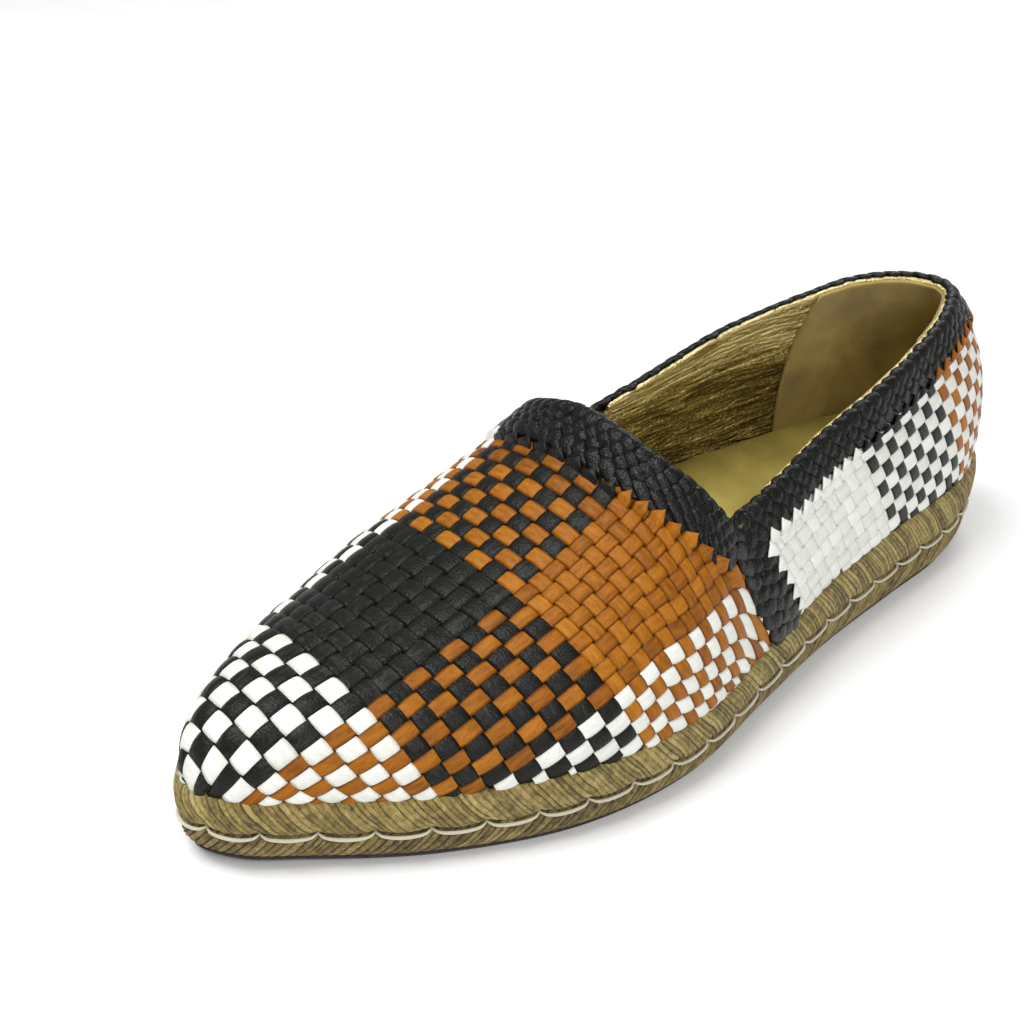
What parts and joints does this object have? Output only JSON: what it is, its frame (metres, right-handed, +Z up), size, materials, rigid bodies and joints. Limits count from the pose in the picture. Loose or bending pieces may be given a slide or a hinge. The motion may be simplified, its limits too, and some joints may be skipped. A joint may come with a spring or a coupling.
{
  "type": "espadrille",
  "caption": "Left slip-on woven leather espadrille with a pointed toe, plaited leather binding and a rope-wound jute sole.",
  "frame": {"origin": "centre of the shoe's bounding box, on the floor under the sole", "axes": "+Z up, -Y towards the toe, +X towards the outer (little toe) side of the left foot"},
  "size_m": [0.0946, 0.258, 0.0755],
  "materials": {
    "outsole": "matt",
    "jute": "matt twisted rope",
    "insole": "satin",
    "woven_leather": "satin, woven in black, off-white and tan",
    "binding": "satin plait"
  },
  "bodies": {
    "root": {"outsole": "outsole", "jute_lower": "jute", "jute_upper": "jute", "insole": "insole", "woven_upper": "woven_leather", "collar_binding": "binding", "seam_binding_outer": "binding", "seam_binding_inner": "binding"}
  },
  "joints": []
}
